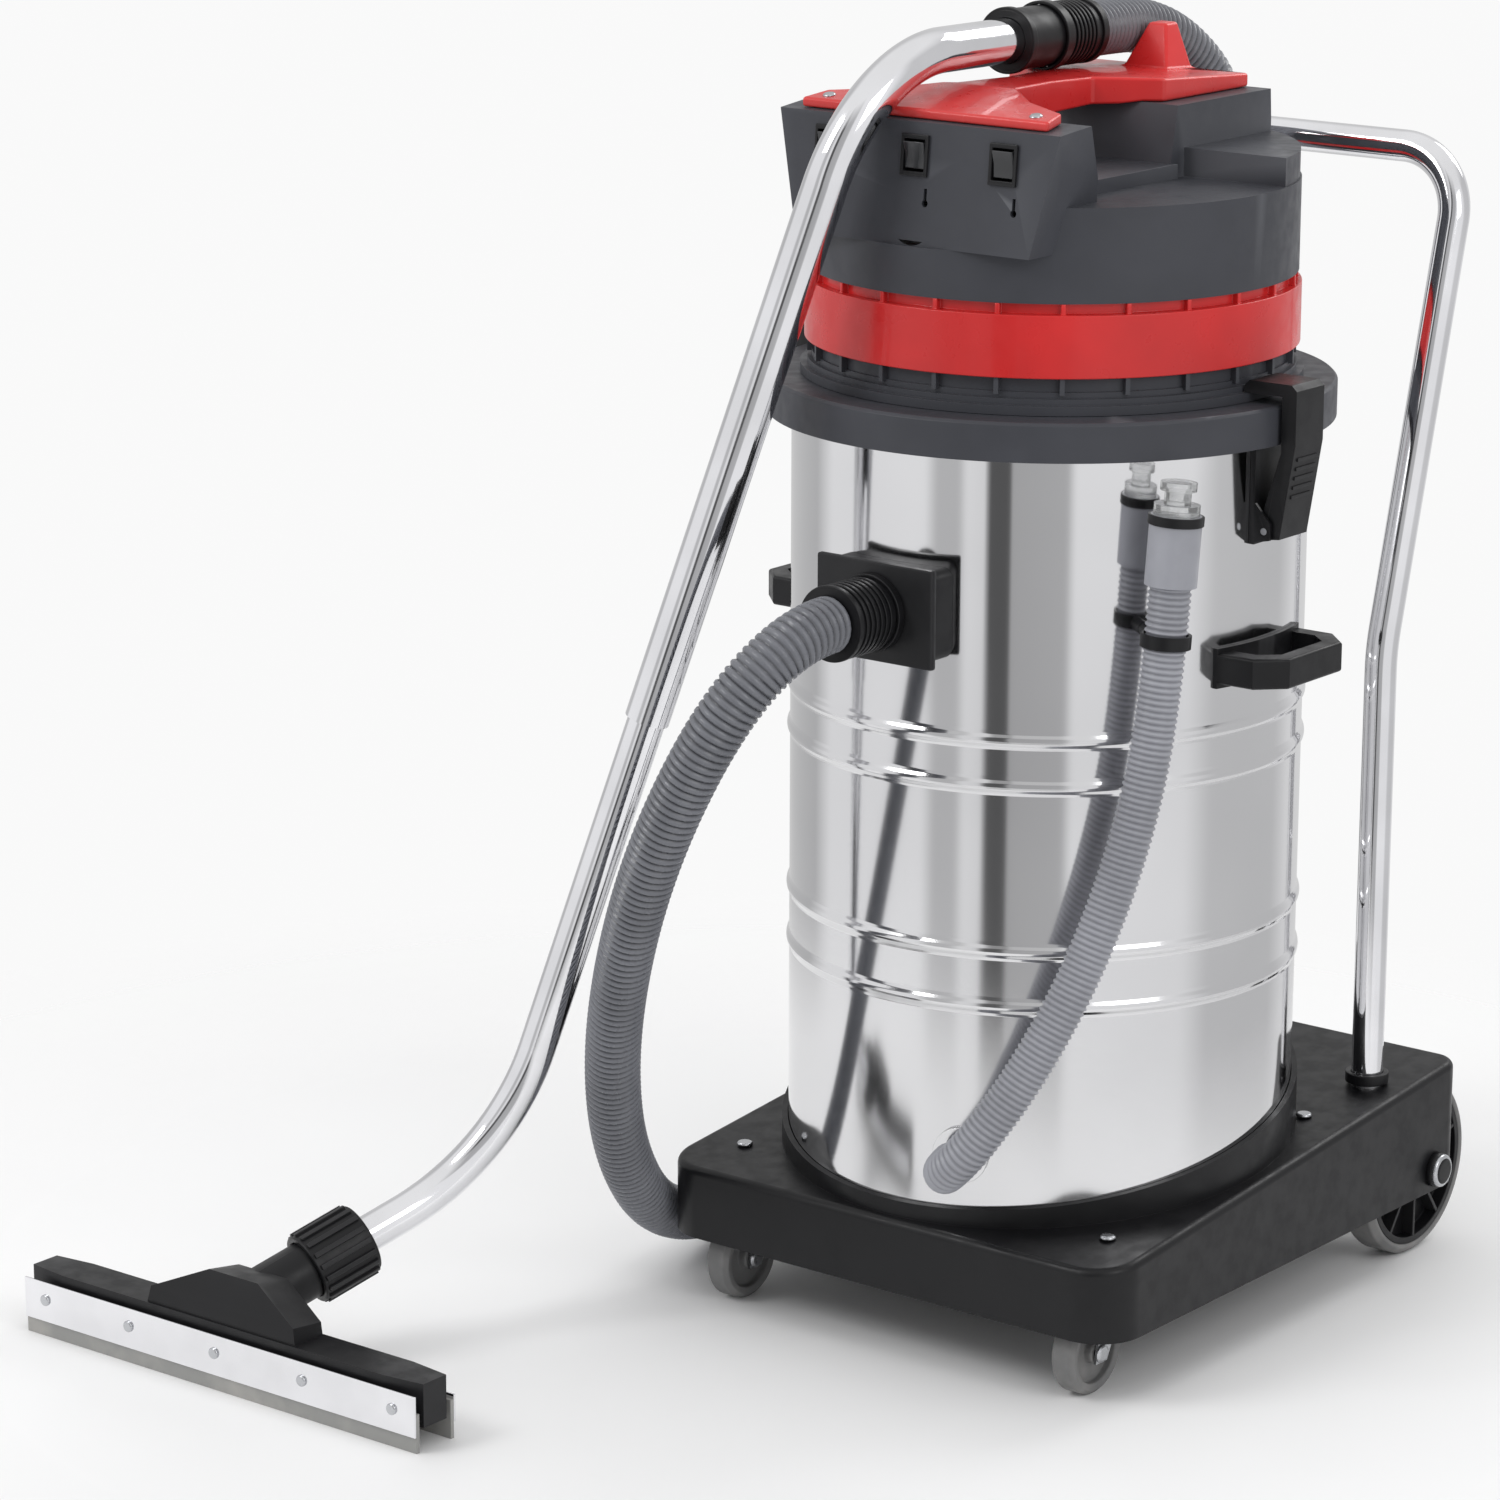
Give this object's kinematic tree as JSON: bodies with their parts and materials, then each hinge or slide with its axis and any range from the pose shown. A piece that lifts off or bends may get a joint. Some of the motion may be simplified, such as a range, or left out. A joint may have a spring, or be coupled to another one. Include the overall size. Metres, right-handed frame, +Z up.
{
  "type": "shop vacuum",
  "caption": "Upright wet and dry shop vacuum: steel drum on a wheeled tray, motor head with switches, hose, bent chrome wand and wide floor squeegee tool.",
  "frame": {"origin": "on the floor, under the middle of the box of the machine and its wand and floor tool, free hoses left out; the drum axis stands at x 0.169, y 0.1436 m", "axes": "+Z up; -Y is the front, with the switches and the hose inlet; +X is the side of the drain hose"},
  "size_m": [0.882, 1.1476, 1.1254],
  "materials": {
    "stainless": "mirror polished sheet",
    "chrome": "mirror",
    "steel": "zinc plated",
    "dark_plastic": "satin moulded",
    "black_plastic": "fine moulded grain",
    "switch_black": "gloss",
    "red_plastic": "satin moulded",
    "white_plastic": "satin",
    "clear_plastic": "clear moulded",
    "tyre_rubber": "grey non-marking",
    "seal_rubber": "matt",
    "blade_rubber": "matt",
    "hose_grey": "ribbed satin",
    "drain_hose_grey": "ribbed satin",
    "filter_cloth": "woven nylon",
    "motor_metal": "pressed",
    "aluminium": "cast"
  },
  "bodies": {
    "machine": {"base_screws": "steel", "base_tray": "black_plastic", "drain_cuff": "drain_hose_grey", "drain_fitting": "stainless", "drain_hose": "drain_hose_grey", "drain_plug": "clear_plastic", "drain_tie": "black_plastic", "drum_rim": "dark_plastic", "drum_shell": "stainless", "filter_bag": "filter_cloth", "filter_ring": "black_plastic", "float_cage": "black_plastic", "handle_collars": "black_plastic", "head_base": "dark_plastic", "head_cover": "dark_plastic", "head_seal": "seal_rubber", "inlet_box": "black_plastic", "inlet_cuff": "black_plastic", "latch_bracket_left": "black_plastic", "latch_bracket_right": "black_plastic", "latch_pins": "steel", "lifting_handle": "red_plastic", "motor_1": "motor_metal", "motor_2": "motor_metal", "motor_3": "motor_metal", "motor_band": "red_plastic", "motor_seals": "seal_rubber", "push_handle": "chrome", "rear_axle": "steel", "side_handle_left": "black_plastic", "side_handle_right": "black_plastic", "suction_hose": "hose_grey", "switch_bezels": "black_plastic", "tool_blade_front": "blade_rubber", "tool_blade_rear": "blade_rubber", "tool_body": "black_plastic", "tool_plate_front": "chrome", "tool_plate_rear": "chrome", "tool_screws": "steel", "wand_cuff": "black_plastic", "wand_lower": "chrome", "wand_upper": "chrome"},
    "caster_left": {"caster_fork_left": "steel"},
    "caster_wheel_left": {"caster_wheel_left": "tyre_rubber"},
    "caster_right": {"caster_fork_right": "steel"},
    "caster_wheel_right": {"caster_wheel_right": "tyre_rubber"},
    "rear_wheel_left": {"rear_hub_left": "black_plastic", "rear_tyre_left": "tyre_rubber"},
    "rear_wheel_right": {"rear_hub_right": "black_plastic", "rear_tyre_right": "tyre_rubber"},
    "rocker_left": {"rocker_left": "switch_black"},
    "rocker_middle": {"rocker_middle": "switch_black"},
    "rocker_right": {"rocker_right": "switch_black"},
    "latch_left": {"latch_lever_left": "black_plastic"},
    "latch_right": {"latch_lever_right": "black_plastic"},
    "impeller_1": {"impeller_1": "aluminium"},
    "impeller_2": {"impeller_2": "aluminium"},
    "impeller_3": {"impeller_3": "aluminium"},
    "float": {"float_disc": "white_plastic"},
    "collar_nut": {"collar_nut": "black_plastic"}
  },
  "joints": [
    {"name": "caster_swivel_left", "type": "hinge", "parent": "machine", "child": "caster_left", "pos_m": [-0.015, -0.0244, 0.06], "axis": [0, 0, 1], "continuous": true},
    {"name": "caster_roll_left", "type": "hinge", "parent": "caster_left", "child": "caster_wheel_left", "pos_m": [-0.015, -0.0444, 0.037], "axis": [1, 0, 0], "continuous": true},
    {"name": "rear_wheel_roll_left", "type": "hinge", "parent": "machine", "child": "rear_wheel_left", "pos_m": [-0.036, 0.4216, 0.082], "axis": [1, 0, 0], "continuous": true},
    {"name": "caster_swivel_right", "type": "hinge", "parent": "machine", "child": "caster_right", "pos_m": [0.353, -0.0244, 0.06], "axis": [0, 0, 1], "continuous": true},
    {"name": "caster_roll_right", "type": "hinge", "parent": "caster_right", "child": "caster_wheel_right", "pos_m": [0.353, -0.0444, 0.037], "axis": [1, 0, 0], "continuous": true},
    {"name": "rear_wheel_roll_right", "type": "hinge", "parent": "machine", "child": "rear_wheel_right", "pos_m": [0.374, 0.4216, 0.082], "axis": [1, 0, 0], "continuous": true},
    {"name": "switch_left", "type": "hinge", "parent": "machine", "child": "rocker_left", "pos_m": [0.081, -0.04984, 1.02473], "axis": [1, 0, 0], "range_deg": [-12, 0]},
    {"name": "switch_middle", "type": "hinge", "parent": "machine", "child": "rocker_middle", "pos_m": [0.169, -0.04984, 1.02473], "axis": [1, 0, 0], "range_deg": [-12, 0]},
    {"name": "switch_right", "type": "hinge", "parent": "machine", "child": "rocker_right", "pos_m": [0.257, -0.04984, 1.02473], "axis": [1, 0, 0], "range_deg": [-12, 0]},
    {"name": "latch_left_open", "type": "hinge", "parent": "machine", "child": "latch_left", "pos_m": [-0.064, 0.1436, 0.716], "axis": [0, -1, 0], "range_deg": [0, 70]},
    {"name": "latch_right_open", "type": "hinge", "parent": "machine", "child": "latch_right", "pos_m": [0.402, 0.1436, 0.716], "axis": [0, 1, 0], "range_deg": [0, 70]},
    {"name": "motor_1_spin", "type": "hinge", "parent": "machine", "child": "impeller_1", "pos_m": [0.169, 0.2316, 0.9], "axis": [0, 0, 1], "continuous": true},
    {"name": "motor_2_spin", "type": "hinge", "parent": "machine", "child": "impeller_2", "pos_m": [0.09279, 0.0996, 0.9], "axis": [0, 0, 1], "continuous": true},
    {"name": "motor_3_spin", "type": "hinge", "parent": "machine", "child": "impeller_3", "pos_m": [0.24521, 0.0996, 0.9], "axis": [0, 0, 1], "continuous": true},
    {"name": "float_rise", "type": "slide", "parent": "machine", "child": "float", "axis": [0, 0, 1], "range_m": [0, 0.055]},
    {"name": "collar_nut_turn", "type": "hinge", "parent": "machine", "child": "collar_nut", "pos_m": [-0.19041, -0.37964, 0.09317], "axis": [0.3198, 0.8845, 0.3396], "range_deg": [0, 180]}
  ]
}
